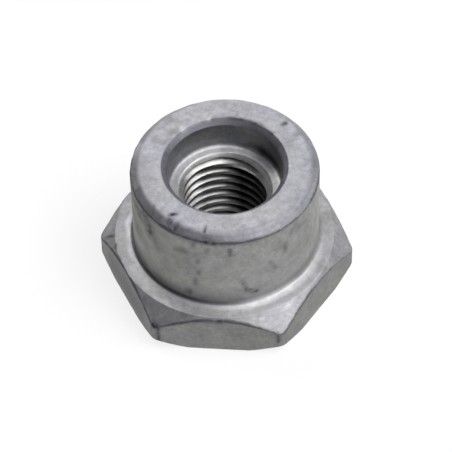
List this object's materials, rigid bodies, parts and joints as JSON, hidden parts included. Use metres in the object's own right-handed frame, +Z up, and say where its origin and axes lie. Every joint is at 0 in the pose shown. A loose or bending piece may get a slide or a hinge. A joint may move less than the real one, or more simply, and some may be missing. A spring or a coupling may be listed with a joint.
{
  "type": "hex weld nut",
  "caption": "One-piece hexagonal weld nut with a tall round boss, counterbored at the top and tapped right through.",
  "frame": {"origin": "centre of the flat base of the hexagon, on the thread axis", "axes": "+Z up the thread axis towards the boss; -Y is square to one flat of the hexagon; +X points at a corner"},
  "size_m": [0.0274, 0.024, 0.0163],
  "materials": {
    "zinc_steel": "matt zinc coated steel, finely mottled, edges worn dark"
  },
  "bodies": {
    "root": {"weld_nut": "zinc_steel"}
  },
  "joints": []
}
